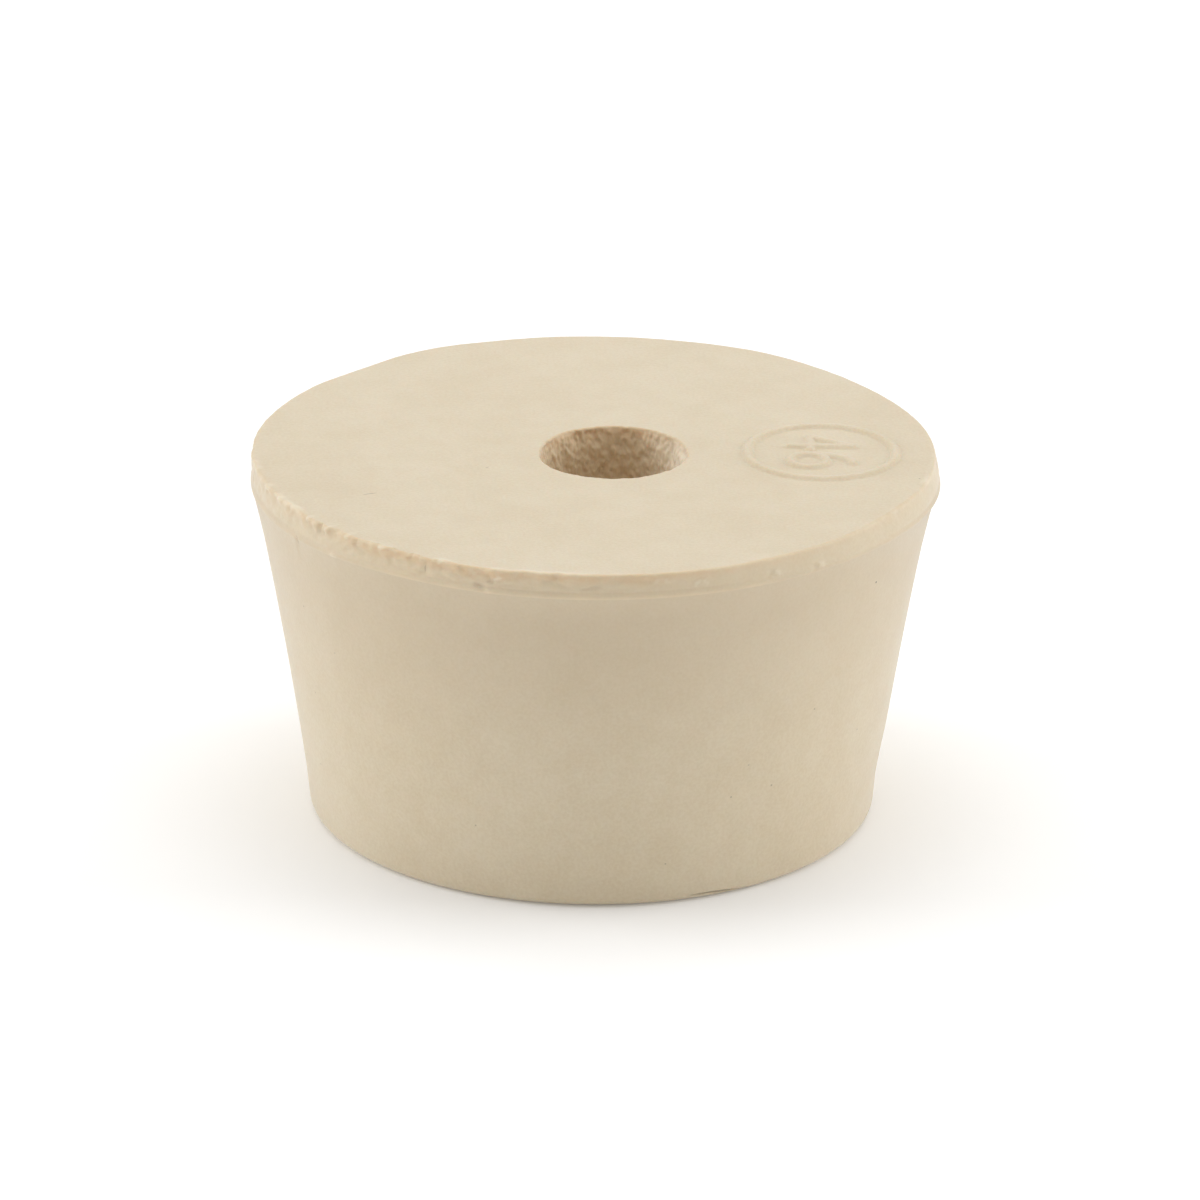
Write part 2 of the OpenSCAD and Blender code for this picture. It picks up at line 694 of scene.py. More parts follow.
    def wander_line(self, skin: Skin) -> None:
        """Let the parting line rise and fall, and the flash stand out more in some places than in others.

        Args:
            skin: the stopper's vertices.
        """
        s = self.section
        near = ease(s.parting_z - self.wander_down, s.parting_z, skin.height) * (1.0 - self.share_up(skin))
        skin.lift(np.where(skin.within(*OUTSIDE), self.wander.along(skin.azimuth) * near, 0.0))
        stand_out = s.flash_out * (self.flash.along(skin.azimuth) - 1.0)
        stand_out *= bump((skin.height - s.parting_z) / s.flash_half_h)
        skin.push_out(np.where(skin.within(Zone.FLASH), stand_out, 0.0))

    def raise_lip(self, skin: Skin) -> np.ndarray:
        """Raise the burr that the knife left along the rim.

        Args:
            skin: the stopper's vertices.

        Returns:
            How strong the burr is at each vertex's azimuth, from 0 to 1.
        """
        burr = np.clip(together(self.burr, self.on_edge(skin)) + self.burr_level, 0.0, 1.0)
        lip = self.lip * burr * self.lip_where.along(skin.azimuth) * self.near_rim(skin, self.lip_in)
        skin.lift(np.where(skin.within(Zone.FACE, Zone.RIM), lip, 0.0))
        return burr

    def nick_shows(self, skin: Skin) -> np.ndarray:
        """Give how much of a nick shows at each vertex: all of it on the band, and less in across the face.

        Args:
            skin: the stopper's vertices.

        Returns:
            The share, from 0 to 1.
        """
        on_band = skin.within(Zone.FLASH, *TRIMMED)
        return np.where(skin.within(Zone.FACE), self.near_rim(skin, self.nick_in), on_band)

    def bite_nicks(self, skin: Skin) -> np.ndarray:
        """Bite the nicks out and push the tags up.

        Args:
            skin: the stopper's vertices.

        Returns:
            How deep the bite is at each vertex's azimuth and height, or how high its tag if negative.
        """
        s = self.section
        azimuth = skin.azimuth
        drop = np.maximum(s.length - skin.height, 0.0)
        bite = np.zeros_like(drop)
        for nick in (*self.nicks, *self.chance.make(s.band_h)):
            bite += self.nick_share * nick.depth_at(azimuth, drop, s.face_r)
        skin.push_out(-bite * self.nick_shows(skin))
        return bite

    def tint_edge(self, skin: Skin, burr: np.ndarray) -> None:
        """Mark where the rubber is cut, paint light on the band and the flash, and paint a highlight along
        the burr.

        Args:
            skin: the stopper's vertices.
            burr: how strong the burr is at each vertex's azimuth.
        """
        azimuth = skin.azimuth
        on_edge = self.on_edge(skin)
        drop = self.section.length - skin.height
        cut = ease(*self.cut_from, self.share_up(skin) - self.cut_edge.at(on_edge))
        cut *= self.cut_where.along(azimuth)
        skin.tint(Layer.CUT, skin.within(*TRIMMED), cut)
        # painted highlight along the burr at the rim
        pale = self.highlight_where.along(azimuth) * np.clip(self.highlight_gain * burr - self.highlight_loss, 0.0, 1.0)
        pale *= self.near_rim(skin, self.highlight_in) * ease(*self.highlight_drop, drop)
        skin.tint(Layer.PAINTED_HIGHLIGHT, skin.within(Zone.FACE, Zone.RIM), pale)
        # painted light: the band is lightened to match the side, with a broken light line along the flash
        band_light = self.band_light_where.along(azimuth)
        line = np.clip(band_light * (self.band_light_line + self.band_light_breaks.at(on_edge)), 0.0, 1.0)
        skin.tint(Layer.LIT_BAND, skin.within(*TRIMMED), band_light)
        skin.tint(Layer.LIT_BAND, skin.within(Zone.FLASH), line)

    def tint_nicks(self, skin: Skin, bite: np.ndarray) -> None:
        """Mark the tags with a painted highlight and the bites with painted shade.

        Args:
            skin: the stopper's vertices.
            bite: how deep the bite is at each vertex's azimuth and height.
        """
        shows = self.nick_shows(skin)
        tags = np.clip(-bite / self.tag_height, 0.0, 1.0)
        bites = np.clip(bite / self.recess_shade_depth, 0.0, 1.0)
        # painted highlight on the raised tags
        skin.tint(Layer.PAINTED_HIGHLIGHT, shows > 0, self.tag_highlight * tags * shows)
        # painted shade in the bites
        skin.tint(Layer.RECESS_SHADE, shows > 0, self.bruise * bites * shows)


@dataclass
class DrilledBore:
    """The bore's wall, torn into slanting ripples and lumps by the drill."""

    section: Section
    twist: float = -4.0
    ripples: tuple[Wave, ...] = (
        Wave(0.11, (1.05, 1.05, 1.9), 4.4),
        Wave(0.1, (0.42, 0.42, 0.5), 9.2),
        Wave(0.08, (0.22, 0.22, 0.28), 6.1),
    )
    ripple_depth: float = 0.25
    mouth_rag: Wave = Wave(0.12, (0.45, 0.45, 2.0), 2.9)
    rag_out: float = 1.0
    flare: Lobes = Lobes(0.15, (Lobe(-150, 40, 0.15),))
    flare_depth: float = 1.2
    flare_out: float = 1.5
    torn_side: Lobe = Lobe(-5, 85, -0.65)
    torn_depth: float = 3.2
    mouth_drilled: float = 0.35
    # painted shade in the hollows of the ripples
    bruise: float = 0.12
    recess_shade_depth: float = 0.11
    # painted glow: a warm tint on the bore's back wall near the mouth
    mouth_glow_side: Lobe = Lobe(95, 85, 1.0)
    mouth_glow_depth: Span = (1.2, 0.3)
    # painted light: the bore's right wall is lightened
    lit_side: Lobe = Lobe(10, 75, 1.0)

    def roughness(self, skin: Skin) -> np.ndarray:
        """Give how far the drill's ripples and the ragged mouth stand out from the bore's axis.

        Args:
            skin: the stopper's vertices.

        Returns:
            The distance at each vertex, outwards.
        """
        s = self.section
        azimuth, reach = skin.about(s.bore_x, s.bore_y)
        wall = skin.within(Zone.BORE)
        face = skin.within(Zone.FACE) & (reach < s.bore_r + self.rag_out)
        torn = wall | face | skin.within(Zone.MOUTH)
        winding = np.radians(azimuth + self.twist * skin.height)
        wound = np.stack([s.bore_r * np.cos(winding), s.bore_r * np.sin(winding), skin.height], 1)[torn]
        from_mouth = np.minimum(s.length - skin.height, skin.height) - s.mouth_edge
        ripple = together(self.ripples, wound) * ease(0.0, self.ripple_depth, from_mouth[torn])
        rag = self.mouth_rag.at(wound) * ease(s.bore_r + self.rag_out, s.mouth_r, reach[torn])
        out = np.zeros(len(wall))
        out[torn] = np.where(wall[torn], ripple, rag)
        return out

    def shape(self, skin: Skin) -> None:
        """Ripple the wall, rag and flare the mouth, mark the drilled wall, and paint shade in the ripples,
        light on the right wall and a warm glow at the mouth's back.

        Args:
            skin: the stopper's vertices.
        """
        s = self.section
        azimuth, reach = skin.about(s.bore_x, s.bore_y)
        wall = skin.within(Zone.BORE)
        mouth = skin.within(Zone.MOUTH)
        drop = s.length - skin.height
        out = self.roughness(skin)
        flare = self.flare.along(azimuth)
        torn = self.torn_side.along(azimuth) * bump((drop - self.torn_depth) / self.torn_depth)
        widen = np.where(wall | mouth, flare * ease(self.flare_depth, 0.0, drop) + torn, 0.0)
        across = flare * ease(s.bore_r + self.flare_out, s.mouth_r, reach)
        widen += np.where(skin.within(Zone.FACE), across, 0.0)
        skin.push_out(out + widen, s.bore_x, s.bore_y)

        skin.tint(Layer.DRILLED, wall, 1.0)
        skin.tint(Layer.DRILLED, mouth, self.mouth_drilled)
        # painted shade in the hollows of the ripples
        skin.tint(Layer.RECESS_SHADE, wall, self.bruise * np.clip(out / self.recess_shade_depth, 0.0, 1.0))
        # painted warm glow on the back of the bore's mouth, in the cut colour
        tint = self.mouth_glow_side.along(azimuth) * ease(*self.mouth_glow_depth, drop)
        skin.tint(Layer.CUT, wall | mouth, tint)
        # painted light on the bore's right wall
        skin.tint(Layer.PAINTED_HIGHLIGHT, wall, self.lit_side.along(azimuth))


@dataclass
class MouldedSide:
    """The hollow side and the small end's edge, with the slight unevenness of soft moulded rubber."""

    section: Section
    uneven: Wave = Wave(0.08, (9.0, 9.0, 14.0), 7.7)
    uneven_above: float = 3.0
    heel: Lobe = Lobe(-8, 40, -0.12)
    heel_height: float = 3.3
    heel_reach: float = 2.6
    crack_from: float = -71.0
    crack_to: float = -57.0
    crack_height: float = 0.44
    crack_droop: float = 0.34
    crack_width: float = 0.1
    crack_depth: float = 0.2
    patch_above: float = 0.9
    patch_beside: float = 2.0

    def crack_patch(self, skin: Skin) -> np.ndarray:
        """Give the vertices on and round the crack, which is finer than the turned mesh.

        Args:
            skin: the stopper's vertices.

        Returns:
            The vertices, as a mask.
        """
        low = skin.height < self.section.small_edge_r + self.patch_above
        after = skin.azimuth > self.crack_from - self.patch_beside
        before = skin.azimuth < self.crack_to + self.patch_beside
        return skin.within(Zone.SMALL_EDGE, Zone.SIDE) & low & after & before

    def crack_line(self, azimuth: np.ndarray) -> np.ndarray:
        """Give the height of the crack along the small end's edge at each azimuth."""
        t = (azimuth - self.crack_from) / (self.crack_to - self.crack_from)
        return self.crack_height - self.crack_droop * np.clip(t, 0.0, 1.0) ** 3

    def shape(self, skin: Skin) -> None:
        """Make the side a little uneven, draw its heel in on one side, and crack the small end's edge.

        Args:
            skin: the stopper's vertices.
        """
        z = skin.height
        side = skin.within(Zone.SMALL_EDGE, *OUTSIDE)
        move = np.zeros(len(z))
        move[side] = self.uneven.at(skin.start[side]) * ease(0.0, self.uneven_above, z[side])
        heel = self.heel.along(skin.azimuth) * bump((z - self.heel_height) / self.heel_reach)
        move += np.where(side, heel * ease(0.0, self.section.small_edge_r, z), 0.0)
        skin.push_out(move)

        edge = skin.within(Zone.SMALL_EDGE, Zone.SIDE)
        middle = (self.crack_from + self.crack_to) / 2
        half_run = (self.crack_to - self.crack_from) / 2
        gape = np.sqrt(bump(turn_between(skin.azimuth, middle) / half_run))
        gape *= bump((z - self.crack_line(skin.azimuth)) / self.crack_width)
        skin.push_out(np.where(edge, -self.crack_depth * gape, 0.0))
        # painted shade in the crack
        skin.tint(Layer.RECESS_SHADE, edge, gape)


@dataclass
class SizeMark:
    """The raised size number in its ring, on the large end, with its top towards the rim."""

    section: Section
    ring_d: float = 10.8
    inset: float = 2.0
    stroke_w: float = 0.8
    rise: float = 0.22
    ridge_foot: float = 0.52
    ridge_crown: float = 0.2
    digit_h: float = 4.2
    digit_w: float = 2.4
    digit_gap: float = 0.9
    four_bar: float = -0.35
    four_stem: float = 0.5
    six_bowl: float = 0.58
    six_hook_out: float = 0.45
    six_hook_w: float = 1.45
    six_hook_end: float = 96.0
    arc_points: int = 25
    patch_margin: float = 2.2

    @property
    def centre(self) -> Span:
        """Middle of the mark on the large end."""
        return self.section.face_r - self.inset - self.ring_d / 2, 0.0

    def patch(self, skin: Skin) -> np.ndarray:
        """Give the vertices of the large end on and round the mark, as a mask."""
        reach = skin.about(*self.centre)[1]
        return skin.within(Zone.FACE) & (reach < self.ring_d / 2 + self.patch_margin)

    def arc(self, middle: Span, half_w: float, half_h: float, turn: Span = (0.0, 360.0)) -> np.ndarray:
        """Give points along an arc of an ellipse, in the mark's own frame.

        Args:
            middle: the ellipse's middle, to the right of the mark's middle and above it.
            half_w: its half width.
            half_h: its half height.
            turn: where the arc starts and ends, anticlockwise from the right.

        Returns:
            The points, one row each.
        """
        a = np.radians(np.linspace(*turn, self.arc_points))
        return np.stack([middle[0] + half_w * np.cos(a), middle[1] + half_h * np.sin(a)], 1)

    def strokes(self) -> list[np.ndarray]:
        """Draw the ring and the two digits, a four and a six, in the mark's own frame.

        Returns:
            The strokes' middle lines, each as rows of points.
        """
        half_w = self.digit_w / 2
        half_h = self.digit_h / 2
        ring_r = (self.ring_d - self.stroke_w) / 2
        six = (self.digit_w + self.digit_gap) / 2
        four = -six
        bar = half_h * self.four_bar
        stem = four + half_w * self.four_stem
        bowl = half_h * self.six_bowl
        hook = six + half_w * self.six_hook_out
        hook_w = half_w * self.six_hook_w
        return [
            self.arc((0.0, 0.0), ring_r, ring_r),
            np.array([[stem, -half_h], [stem, half_h], [four - half_w, bar], [four + half_w, bar]]),
            self.arc((six, bowl - half_h), half_w, bowl),
            self.arc((hook, bowl - half_h), hook_w, self.digit_h - bowl, (180.0, self.six_hook_end)),
        ]

    def distance(self, x: np.ndarray, y: np.ndarray) -> np.ndarray:
        """Give the distance from places on the large end to the nearest stroke's middle line.

        Args:
            x: the places, along the line from the stopper's axis to the mark.
            y: the places, across that line.

        Returns:
            The distance of each place.
        """
        cx, cy = self.centre
        own = np.stack([cy - y, x - cx], 1)
        best = np.full(len(own), np.inf)
        for line in self.strokes():
            for start, end in zip(line[:-1], line[1:]):
                along = end - start
                t = np.clip((own - start) @ along / (along @ along), 0.0, 1.0)
                best = np.minimum(best, np.linalg.norm(own - start - t[:, None] * along, axis=1))
        return best

    def shape(self, skin: Skin) -> None:
        """Raise the strokes out of the large end as soft rounded ridges.

        Args:
            skin: the stopper's vertices.
        """
        near = self.patch(skin)
        off = self.distance(skin.at[near, 0], skin.at[near, 1]) / self.stroke_w
        lift = np.zeros(len(near))
        lift[near] = self.rise * ease(self.ridge_foot, self.ridge_crown, off)
        skin.lift(lift)


@dataclass(frozen=True)
class Grain:
    """Shader noise: its features' length, how much finer detail it has, and how rough that is."""

    length: float
    detail: float = 2.0
    rough: float = 0.5


class Value:
    """A shader value that adds Math nodes when it is used in an expression."""

    def __init__(self, graph: "Graph", socket: bpy.types.NodeSocket) -> None:
        """Wrap a node's output socket."""
        self.graph = graph
        self.socket = socket

    def math(self, operation: str, first: "Term", second: "Term") -> "Value":
        """Add one Math node on two terms."""
        node = self.graph.add("ShaderNodeMath", {"operation": operation}, {0: first, 1: second})
        return Value(self.graph, node.outputs[0])

    def __add__(self, other: "Term") -> "Value":
        """Add."""
        return self.math("ADD", self, other)

    __radd__ = __add__

    def __sub__(self, other: "Term") -> "Value":
        """Subtract."""
        return self.math("SUBTRACT", self, other)

    def __rsub__(self, other: "Term") -> "Value":
        """Subtract this from a number."""
        return self.math("SUBTRACT", other, self)

    def __mul__(self, other: "Term") -> "Value":
        """Multiply."""
        return self.math("MULTIPLY", self, other)

    __rmul__ = __mul__

    def larger(self, other: "Term") -> "Value":
        """Take the larger of two values."""
        return self.math("MAXIMUM", self, other)

    def eased(self, between: Span, to: Span = (0.0, 1.0)) -> "Value":
        """Ease from one value to another.

        Args:
            between: where the change starts and ends.
            to: the values there.

        Returns:
            The eased value.
        """
        node = self.graph.add(
            "ShaderNodeMapRange",
            {"interpolation_type": "SMOOTHSTEP"},
            {
                "Value": self,
                "From Min": between[0],
                "From Max": between[1],
                "To Min": to[0],
                "To Max": to[1],
            },
        )
        return Value(self.graph, node.outputs["Result"])


Term = Union[Value, float, Sequence[float], bpy.types.NodeSocket]
Inputs = dict[Union[str, int], Term]


class Graph:
    """A material's node tree, filled through one method. What it reads more than once, it makes once."""

    def __init__(self, name: str) -> None:
        """Start an empty material.

        Args:
            name: the material's name.
        """
        self.material = bpy.data.materials.new(name)
        self.material.use_nodes = True
        self.tree = self.material.node_tree
        self.tree.nodes.clear()
        self.made: dict[Union[Layer, Grain], Value] = {}

    def add(self, kind: str, settings: dict[str, Any], inputs: Inputs) -> bpy.types.Node:
        """Add a node.

        Args:
            kind: the node's type.
            settings: its own properties, set first.
            inputs: a value, link or colour for each socket, by name or number.

        Returns:
            The node.
        """
        node = self.tree.nodes.new(kind)
        for key, value in settings.items():
            setattr(node, key, value)
        for key, term in inputs.items():
            socket = node.inputs[key]
            if isinstance(term, Value):
                term = term.socket
            if isinstance(term, bpy.types.NodeSocket):
                self.tree.links.new(term, socket)
            else:
                socket.default_value = term
        return node

    @cached_property
    def place(self) -> bpy.types.NodeSocket:
        """The place on the object, in metres."""
        return self.add("ShaderNodeTexCoord", {}, {}).outputs["Object"]

    def height(self) -> Value:
        """Give the height above the small end, in millimetres."""
        node = self.add("ShaderNodeSeparateXYZ", {}, {"Vector": self.place})
        return Value(self, node.outputs["Z"]) * (1 / MM)

    def layer(self, layer: Layer) -> Value:
        """Read a value that the mesh keeps at its vertices.

        Args:
            layer: which value.

        Returns:
            The value.
        """
        if layer not in self.made:
            node = self.add("ShaderNodeAttribute", {"attribute_name": layer.value}, {})
            self.made[layer] = Value(self, node.outputs["Fac"])
        return self.made[layer]

    def noise(self, grain: Grain) -> Value:
        """Read noise of one scale.

        Args:
            grain: which noise.

        Returns:
            The noise, from 0 to 1.
        """
        if grain not in self.made:
            inputs = {
                "Vector": self.place,
                "Scale": 1.0 / (grain.length * MM),
                "Detail": grain.detail,
                "Roughness": grain.rough,
            }
            node = self.add("ShaderNodeTexNoise", {"noise_dimensions": "3D"}, inputs)
            self.made[grain] = Value(self, node.outputs["Fac"])
        return self.made[grain]

    def mix(self, factor: Term, first: Term, second: Term) -> bpy.types.NodeSocket:
        """Mix two colours."""
        node = self.add("ShaderNodeMix", {"data_type": "RGBA"}, {"Factor": factor, 6: first, 7: second})
        return node.outputs[2]

    def finish(self, inputs: Inputs) -> bpy.types.Material:
        """Close the tree with a surface shader.

        Args:
            inputs: a value, link or colour for each of the shader's sockets that is set.

        Returns:
            The material.
        """
        shader = self.add("ShaderNodeBsdfPrincipled", {}, inputs)
        self.add("ShaderNodeOutputMaterial", {}, {"Surface": shader.outputs["BSDF"]})
        return self.material


def light_of(channel: int) -> float:
    """Turn one channel of a screen colour, from 0 to 255, into the light that a shader works in."""
    share = channel / 255
    return share / 12.92 if share <= 0.04045 else ((share + 0.055) / 1.055) ** 2.4


def linear(colour: Colour) -> tuple[float, float, float, float]:
    """Turn a colour as a screen shows it into the light that a shader works in."""
    red, green, blue = (light_of(channel) for channel in colour)
    return red, green, blue, 1.0


@dataclass(frozen=True)
class Fleck:
    """A speck of dirt or a fine scratch: a flattened spot at a place on the surface."""

    place: Point
    length: float
    width: float
    turn: float
    strength: float
    soft_edge: Span = (1.0, 0.5)

    def mask(self, graph: Graph) -> Value:
        """Give how dirty the fleck makes each place.

        Args:
            graph: the material's nodes.

        Returns:
            The fleck's strength on it, and 0 off it.
        """
        own = graph.add(
            "ShaderNodeMapping",
            {"vector_type": "TEXTURE"},
            {
                "Vector": graph.place,
                "Location": [value * MM for value in self.place],
                "Rotation": (0.0, 0.0, math.radians(self.turn)),
                "Scale": [value / 2 * MM for value in (self.length, self.width, self.length)],
            },
        )
        reach = graph.add("ShaderNodeVectorMath", {"operation": "LENGTH"}, {0: own.outputs[0]})
        return Value(graph, reach.outputs["Value"]).eased(self.soft_edge, (0.0, self.strength))


@dataclass(frozen=True)
class RubberFinish:
    """Cream natural rubber: matt, faintly mottled, tan where it was cut or drilled, with specks of dirt.

    A side speck is its azimuth, height, size and strength. A band scratch is its azimuth, drop below the
    large end's face, length and strength. A face fleck is its place, length, width, turn and strength.
    """

    section: Section
    cream: Colour = (220, 206, 179)
    shade: Colour = (211, 194, 163)
    # painted shade: the side's colour darkened towards its top, under the rim's overhang
    painted_rim_shade: Colour = (203, 184, 155)
    # painted light colour for the band and the flash
    band_light: Colour = (230, 210, 176)
    drilled: Colour = (229, 204, 167)
    # the cut rubber's colour, also used for the painted glow in the bore's mouth
    cut: Colour = (215, 178, 130)
    # painted highlight colour
    pale: Colour = (240, 230, 208)
    # dirt colour, also the colour of the painted shade in hollows
    dirt_and_shade: Colour = (96, 76, 52)
    cloud: Grain = Grain(11.0, 3.0)
    patch: Grain = Grain(2.2, 3.0)
    torn: Grain = Grain(0.7, 4.0, 0.65)
    grain: Grain = Grain(0.28, 2.0, 0.6)
    speckle: Grain = Grain(0.2, 1.0)
    noise_span: Span = (0.3, 0.7)
    grain_span: Span = (0.25, 0.75)
    cloud_mottle: float = 0.35
    patch_mottle: float = 0.3
    grain_mottle: float = 0.2
    speckle_mottle: Span = (-0.22, 0.22)
    # where the painted shade under the rim rises, how strong it gets, and where it eases off on the band
    # and at the rim
    rim_shade_rise: Span = (0.3, 0.93)
    rim_shade_most: float = 0.53
    rim_shade_on_band: float = 0.3
    rim_shade_band_drop: Span = (1.6, 1.2)
    rim_shade_rim_drop: Span = (0.3, 0.15)
    drilled_mix: float = 0.8
    cut_span: Span = (0.3, 0.6)
    cut_mix: Span = (0.15, 0.5)
    # how strongly the painted highlight is mixed in
    highlight_mix: float = 0.6
    # how strongly the painted shade is mixed in
    recess_shade_mix: float = 0.4
    grain_relief: float = 0.5
    speckle_relief: float = 0.3
    patch_relief: float = 0.8
    cut_relief: float = 2.2
    drilled_relief: float = 1.2
    relief_strength: float = 0.6
    relief_depth: float = 0.03
    roughness: Span = (0.54, 0.63)
    cut_roughness: float = 0.1
    specular: float = 0.5
    sheen: float = 0.35
    sheen_roughness: float = 0.45
    glow_through: float = 0.2
    glow_colours: Point = (1.0, 0.5, 0.25)
    glow_depth: float = 1.0
    side_specks: tuple[tuple[float, float, float, float], ...] = (
        (-33.3, 20.55, 0.2, 1.0),
        (-151.2, 17.8, 0.16, 0.45),
        (-142.5, 15.5, 0.14, 0.35),
        (-152.9, 11.2, 0.16, 0.4),
        (-156.4, 5.45, 0.16, 0.4),
        (-45.4, 12.6, 0.18, 0.4),
        (-29.8, 9.2, 0.16, 0.45),
        (-53.8, 7.7, 0.2, 0.4),
        (-59.6, 9.7, 0.16, 0.3),
        (-62.7, 7.5, 0.18, 0.4),
        (-75.3, 3.1, 0.16, 0.4),
        (-112.5, 5.5, 0.16, 0.35),
    )
    band_scratches: tuple[tuple[float, float, float, float], ...] = (
        (-148.0, 1.85, 0.8, 0.4),
        (-140.8, 0.5, 0.6, 0.3),
        (-118.5, 0.7, 0.7, 0.25),
    )
    scratch_w: float = 0.13
    face_flecks: tuple[tuple[Span, float, float, float, float], ...] = (
        ((-14.75, -8.4), 1.2, 0.09, 20.0, 0.7),
        ((21.6, -4.7), 0.16, 0.16, 0.0, 0.5),
        ((-7.1, -3.3), 0.4, 0.14, 40.0, 0.35),
    )

    def flecks(self) -> list[Fleck]:
        """List the specks on the side, the scratches on the band and the flecks on the large end.

        Returns:
            All of them, each at its place.
        """
        s = self.section
        made = []
        for azimuth, height, size, strength in self.side_specks:
            place = round_axis(s.side_radius(height), azimuth, height)
            made.append(Fleck(place, size, size, 0.0, strength))
        for azimuth, drop, length, strength in self.band_scratches:
            place = round_axis(s.parting_r, azimuth, s.length - drop)
            made.append(Fleck(place, length, self.scratch_w, azimuth, strength))
        for place, length, width, turn, strength in self.face_flecks:
            made.append(Fleck((*place, s.length), length, width, turn, strength))
        return made

    def dirt_mask(self, graph: Graph) -> Value:
        """Put the flecks together.

        Args:
            graph: the material's nodes.

        Returns:
            How dirty each place is, from 0 to 1.
        """
        first, *others = self.flecks()
        dirty = first.mask(graph)
        for fleck in others:
            dirty = dirty.larger(fleck.mask(graph))
        return dirty

    def mottle(self, graph: Graph) -> Value:
        """Give how far each place is from cream to its shade, with clouds, patches, grain and speckle.

        Args:
            graph: the material's nodes.

        Returns:
            The mottle, from about 0 to 1.
        """
        cloud = graph.noise(self.cloud).eased(self.noise_span) * self.cloud_mottle
        patch = graph.noise(self.patch).eased(self.noise_span) * self.patch_mottle
        grain = graph.noise(self.grain).eased(self.grain_span) * self.grain_mottle
        return cloud + patch + grain + graph.noise(self.speckle).eased(self.noise_span, self.speckle_mottle)

    def rim_shading(self, graph: Graph) -> Value:
        """Give how much painted shade each place gets: more towards the side's top, less on the band, not
        on the face.

        Args:
            graph: the material's nodes.

        Returns:
            How far each place is from its own colour to the painted shade colour.
        """
        top = self.section.length
        height = graph.height()
        low, high = (share * top for share in self.rim_shade_rise)
        band_low, band_high = (top - drop for drop in self.rim_shade_band_drop)
        rim_low, rim_high = (top - drop for drop in self.rim_shade_rim_drop)
        painted_rim_shade = height.eased((low, high), (0.0, self.rim_shade_most))
        painted_rim_shade = painted_rim_shade * height.eased((band_low, band_high), (1.0, self.rim_shade_on_band))
        return painted_rim_shade * (1.0 - height.eased((rim_low, rim_high)))

    def colour(self, graph: Graph) -> bpy.types.NodeSocket:
        """Lay the colours over each other, from the cream up to the painted shade and the dirt.

        Args:
            graph: the material's nodes.

        Returns:
            The colour of each place.
        """
        torn = graph.noise(self.torn).eased(self.cut_span, self.cut_mix)
        coats = (
            (self.mottle(graph), self.shade),
            # painted shade, darker towards the side's top
            (self.rim_shading(graph), self.painted_rim_shade),
            # painted light on the band and the flash
            (graph.layer(Layer.LIT_BAND), self.band_light),
            (graph.layer(Layer.DRILLED) * self.drilled_mix, self.drilled),
            # cut rubber, and the painted glow in the bore's mouth
            (graph.layer(Layer.CUT) * torn, self.cut),
            # painted highlight and painted light
            (graph.layer(Layer.PAINTED_HIGHLIGHT) * self.highlight_mix, self.pale),
            # painted shade in the nicks, the ripples and the crack
            (graph.layer(Layer.RECESS_SHADE) * self.recess_shade_mix, self.dirt_and_shade),
            (self.dirt_mask(graph), self.dirt_and_shade),
        )
        colour: Term = linear(self.cream)
        for amount, coat in coats:
            colour = graph.mix(amount, colour, linear(coat))
        return colour

    def relief(self, graph: Graph) -> bpy.types.NodeSocket:
        """Give the fine relief: grain and patches everywhere, and tears where it was cut or drilled.

        Args:
            graph: the material's nodes.

        Returns:
            The surface's direction at each place.
        """
        torn = graph.layer(Layer.CUT) * self.cut_relief + graph.layer(Layer.DRILLED) * self.drilled_relief
        height = (
            graph.noise(self.grain) * self.grain_relief
            + graph.noise(self.speckle) * self.speckle_relief
            + graph.noise(self.patch) * self.patch_relief
            + graph.noise(self.torn) * torn
        )
        inputs = {"Strength": self.relief_strength, "Distance": self.relief_depth * MM, "Height": height}
        return graph.add("ShaderNodeBump", {}, inputs).outputs["Normal"]

    def material(self) -> bpy.types.Material:
        """Make the finish's material.

        Returns:
            The material.
        """
        graph = Graph("cream_rubber")
        matt = graph.noise(self.grain).eased(self.noise_span, self.roughness)
        return graph.finish(
            {
                "Base Color": self.colour(graph),
                "Roughness": matt + graph.layer(Layer.CUT) * self.cut_roughness,
                "Normal": self.relief(graph),
                "Specular IOR Level": self.specular,
                "Sheen Weight": self.sheen,
                "Sheen Roughness": self.sheen_roughness,
                "Subsurface Weight": self.glow_through,
                "Subsurface Radius": self.glow_colours,
                "Subsurface Scale": self.glow_depth * MM,
            }
        )


